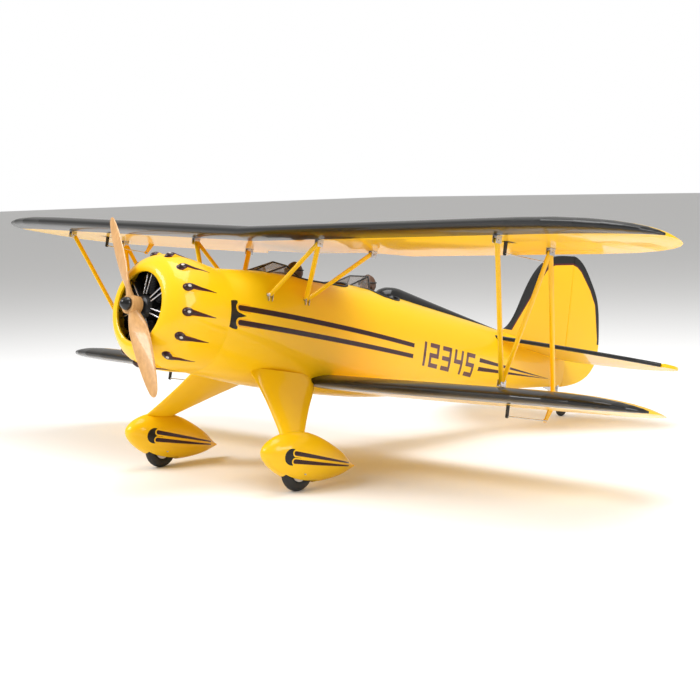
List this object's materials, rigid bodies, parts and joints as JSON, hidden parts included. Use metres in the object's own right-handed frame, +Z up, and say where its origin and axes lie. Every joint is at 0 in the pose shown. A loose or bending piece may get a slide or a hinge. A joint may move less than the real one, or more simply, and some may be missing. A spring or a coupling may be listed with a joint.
{
  "type": "biplane scale model",
  "caption": "Open-cockpit radio-controlled biplane model with a cowled radial engine, wheel fairings, struts, pilots and working control surfaces.",
  "frame": {"origin": "centre of the bounding box's bottom face, on the floor under the standing model", "axes": "+X to the aircraft's left wing tip, +Y aft, +Z up, standing on its main wheels and tail wheel"},
  "size_m": [1.8266, 1.4254, 0.5119],
  "materials": {
    "covering": "gloss",
    "paint": "gloss",
    "plywood": "matt",
    "black_plastic": "satin",
    "bright_metal": "satin",
    "cast_metal": "cast",
    "tube_metal": "satin",
    "blade_wood": "varnished",
    "tank_plastic": "satin",
    "tyre_rubber": "matt",
    "headrest_leather": "satin",
    "figure_paint": "satin",
    "clear_sheet": "clear"
  },
  "bodies": {
    "airframe": {"cabane_strut_left": "paint", "cabane_strut_right": "paint", "cockpit_seats": "headrest_leather", "cowl": "paint", "dummy_crankcase": "black_plastic", "dummy_cylinders": "black_plastic", "dummy_pushrod_tubes": "bright_metal", "engine": "cast_metal", "fin": "covering", "firewall": "plywood", "fuel_tank": "tank_plastic", "fuselage": "covering", "gear_leg_left": "paint", "gear_leg_right": "paint", "headrest": "headrest_leather", "instrument_panels": "black_plastic", "interplane_strut_left": "paint", "interplane_strut_right": "paint", "lower_wing_left": "covering", "lower_wing_right": "covering", "pilot_front": "figure_paint", "pilot_rear": "figure_paint", "radio_gear": "plywood", "servos": "black_plastic", "stabiliser": "covering", "strut_fittings": "bright_metal", "tail_wheel_bracket": "bright_metal", "upper_wing_left": "covering", "upper_wing_right": "covering", "wheel_axles": "bright_metal", "wheel_pant_left": "paint", "wheel_pant_right": "paint", "windshield_frames": "black_plastic", "windshields": "clear_sheet", "wing_tubes": "tube_metal"},
    "propeller": {"propeller": "blade_wood", "spinner_nut": "black_plastic", "crankshaft": "bright_metal"},
    "wheel_left": {"wheel_hub_left": "tube_metal", "tyre_left": "tyre_rubber"},
    "wheel_right": {"wheel_hub_right": "tube_metal", "tyre_right": "tyre_rubber"},
    "rudder": {"rudder": "covering"},
    "tail_fork": {"tail_wheel_fork": "bright_metal"},
    "tail_wheel": {"tail_wheel": "tyre_rubber"},
    "elevator": {"elevator_left": "covering", "elevator_right": "covering", "elevator_joiner": "bright_metal"},
    "aileron_upper_left": {"aileron_upper_left": "covering"},
    "servo_arm_upper_left": {"servo_arm_upper_left": "black_plastic"},
    "pushrod_upper_left": {"pushrod_upper_left": "bright_metal"},
    "aileron_upper_right": {"aileron_upper_right": "covering"},
    "servo_arm_upper_right": {"servo_arm_upper_right": "black_plastic"},
    "pushrod_upper_right": {"pushrod_upper_right": "bright_metal"},
    "aileron_lower_left": {"aileron_lower_left": "covering"},
    "servo_arm_lower_left": {"servo_arm_lower_left": "black_plastic"},
    "pushrod_lower_left": {"pushrod_lower_left": "bright_metal"},
    "aileron_lower_right": {"aileron_lower_right": "covering"},
    "servo_arm_lower_right": {"servo_arm_lower_right": "black_plastic"},
    "pushrod_lower_right": {"pushrod_lower_right": "bright_metal"}
  },
  "joints": [
    {"name": "propeller_spin", "type": "hinge", "parent": "airframe", "child": "propeller", "pos_m": [0, -0.67044, 0.35302], "axis": [0, 0.9682, -0.2502], "continuous": true},
    {"name": "wheel_left_spin", "type": "hinge", "parent": "airframe", "child": "wheel_left", "pos_m": [0.2068, -0.46314, 0.035], "axis": [1, 0, 0], "continuous": true},
    {"name": "wheel_right_spin", "type": "hinge", "parent": "airframe", "child": "wheel_right", "pos_m": [-0.2068, -0.46314, 0.035], "axis": [1, 0, 0], "continuous": true},
    {"name": "rudder_turn", "type": "hinge", "parent": "airframe", "child": "rudder", "pos_m": [0, 0.59262, 0.20732], "axis": [0, 0.1924, 0.9813], "range_deg": [-25, 25]},
    {"name": "tail_wheel_steer", "type": "hinge", "parent": "airframe", "child": "tail_fork", "pos_m": [0, 0.5476, 0.05819], "axis": [0, 0.1924, 0.9813], "range_deg": [-25, 25]},
    {"name": "tail_wheel_spin", "type": "hinge", "parent": "tail_fork", "child": "tail_wheel", "pos_m": [0, 0.56582, 0.016], "axis": [1, 0, 0], "continuous": true},
    {"name": "elevator_tilt", "type": "hinge", "parent": "airframe", "child": "elevator", "pos_m": [0, 0.5377, 0.14289], "axis": [1, 0, 0], "range_deg": [-20, 20]},
    {"name": "aileron_upper_left_tilt", "type": "hinge", "parent": "airframe", "child": "aileron_upper_left", "pos_m": [0.585, -0.19238, 0.44206], "axis": [0.9996, 0.0051, 0.026], "range_deg": [-20, 20]},
    {"name": "servo_arm_upper_left_turn", "type": "hinge", "parent": "airframe", "child": "servo_arm_upper_left", "pos_m": [0.585, -0.30033, 0.46322], "axis": [0.9996, 0.0051, 0.026], "range_deg": [-20, 20]},
    {"name": "pushrod_upper_left_swing", "type": "hinge", "parent": "servo_arm_upper_left", "child": "pushrod_upper_left", "pos_m": [0.585, -0.30533, 0.43771], "axis": [0.9996, 0.0051, 0.026], "range_deg": [-20, 20]},
    {"name": "aileron_upper_right_tilt", "type": "hinge", "parent": "airframe", "child": "aileron_upper_right", "pos_m": [-0.585, -0.19238, 0.44206], "axis": [0.9996, -0.0051, -0.026], "range_deg": [-20, 20]},
    {"name": "servo_arm_upper_right_turn", "type": "hinge", "parent": "airframe", "child": "servo_arm_upper_right", "pos_m": [-0.585, -0.30033, 0.46322], "axis": [0.9996, -0.0051, -0.026], "range_deg": [-20, 20]},
    {"name": "pushrod_upper_right_swing", "type": "hinge", "parent": "servo_arm_upper_right", "child": "pushrod_upper_right", "pos_m": [-0.585, -0.30533, 0.43771], "axis": [0.9996, -0.0051, -0.026], "range_deg": [-20, 20]},
    {"name": "aileron_lower_left_tilt", "type": "hinge", "parent": "airframe", "child": "aileron_lower_left", "pos_m": [0.5, -0.09485, 0.13903], "axis": [0.9998, 0.0035, 0.0177], "range_deg": [-20, 20]},
    {"name": "servo_arm_lower_left_turn", "type": "hinge", "parent": "airframe", "child": "servo_arm_lower_left", "pos_m": [0.5, -0.2028, 0.16019], "axis": [0.9998, 0.0035, 0.0177], "range_deg": [-20, 20]},
    {"name": "pushrod_lower_left_swing", "type": "hinge", "parent": "servo_arm_lower_left", "child": "pushrod_lower_left", "pos_m": [0.5, -0.2078, 0.13467], "axis": [0.9998, 0.0035, 0.0177], "range_deg": [-20, 20]},
    {"name": "aileron_lower_right_tilt", "type": "hinge", "parent": "airframe", "child": "aileron_lower_right", "pos_m": [-0.5, -0.09485, 0.13903], "axis": [0.9998, -0.0035, -0.0177], "range_deg": [-20, 20]},
    {"name": "servo_arm_lower_right_turn", "type": "hinge", "parent": "airframe", "child": "servo_arm_lower_right", "pos_m": [-0.5, -0.2028, 0.16019], "axis": [0.9998, -0.0035, -0.0177], "range_deg": [-20, 20]},
    {"name": "pushrod_lower_right_swing", "type": "hinge", "parent": "servo_arm_lower_right", "child": "pushrod_lower_right", "pos_m": [-0.5, -0.2078, 0.13467], "axis": [0.9998, -0.0035, -0.0177], "range_deg": [-20, 20]}
  ],
  "couplings": [
    {"joint": "tail_wheel_steer", "follows": "rudder_turn", "ratio": 1},
    {"joint": "servo_arm_upper_left_turn", "follows": "aileron_upper_left_tilt", "ratio": 1},
    {"joint": "pushrod_upper_left_swing", "follows": "aileron_upper_left_tilt", "ratio": -1},
    {"joint": "aileron_upper_right_tilt", "follows": "aileron_upper_left_tilt", "ratio": -1},
    {"joint": "servo_arm_upper_right_turn", "follows": "aileron_upper_left_tilt", "ratio": -1},
    {"joint": "pushrod_upper_right_swing", "follows": "aileron_upper_left_tilt", "ratio": 1},
    {"joint": "aileron_lower_left_tilt", "follows": "aileron_upper_left_tilt", "ratio": 1},
    {"joint": "servo_arm_lower_left_turn", "follows": "aileron_upper_left_tilt", "ratio": 1},
    {"joint": "pushrod_lower_left_swing", "follows": "aileron_upper_left_tilt", "ratio": -1},
    {"joint": "aileron_lower_right_tilt", "follows": "aileron_upper_left_tilt", "ratio": -1},
    {"joint": "servo_arm_lower_right_turn", "follows": "aileron_upper_left_tilt", "ratio": -1},
    {"joint": "pushrod_lower_right_swing", "follows": "aileron_upper_left_tilt", "ratio": 1}
  ]
}
